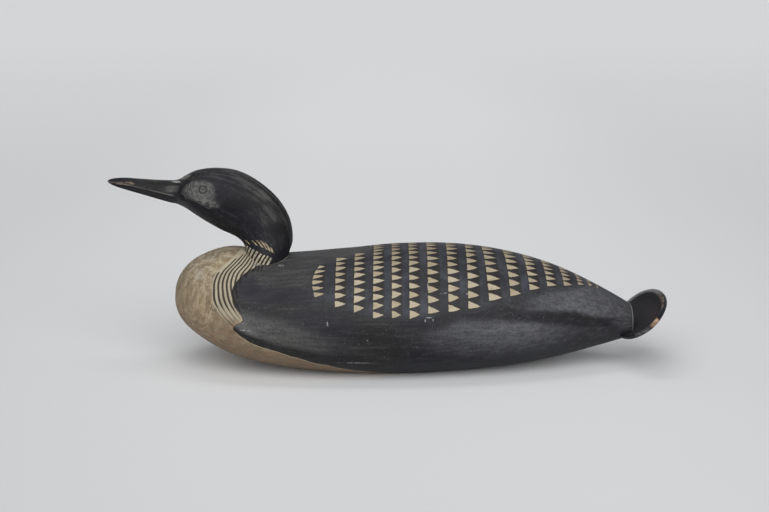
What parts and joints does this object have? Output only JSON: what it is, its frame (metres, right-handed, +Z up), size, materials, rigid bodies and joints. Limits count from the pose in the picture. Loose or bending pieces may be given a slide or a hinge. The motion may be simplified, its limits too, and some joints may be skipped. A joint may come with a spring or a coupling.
{
  "type": "loon decoy",
  "caption": "Carved and painted wooden loon decoy with a low oval body, a bent neck, a pointed bill and an upturned dished tail.",
  "frame": {"origin": "middle of the flat planed on the keel, on the surface the decoy stands on", "axes": "+Z up, the bill points along -X and the tail along +X, +Y is the bird's right side"},
  "size_m": [0.6954, 0.2162, 0.2483],
  "materials": {
    "painted_body": "satin black paint on softwood, rubbed, with a worn cream breast, incised neck lines and a painted check pattern on the back",
    "painted_head": "satin black paint on softwood, worn grey on the cheek and tan on the bill"
  },
  "bodies": {
    "root": {"body_and_tail": "painted_body", "head_and_neck": "painted_head"}
  },
  "joints": []
}
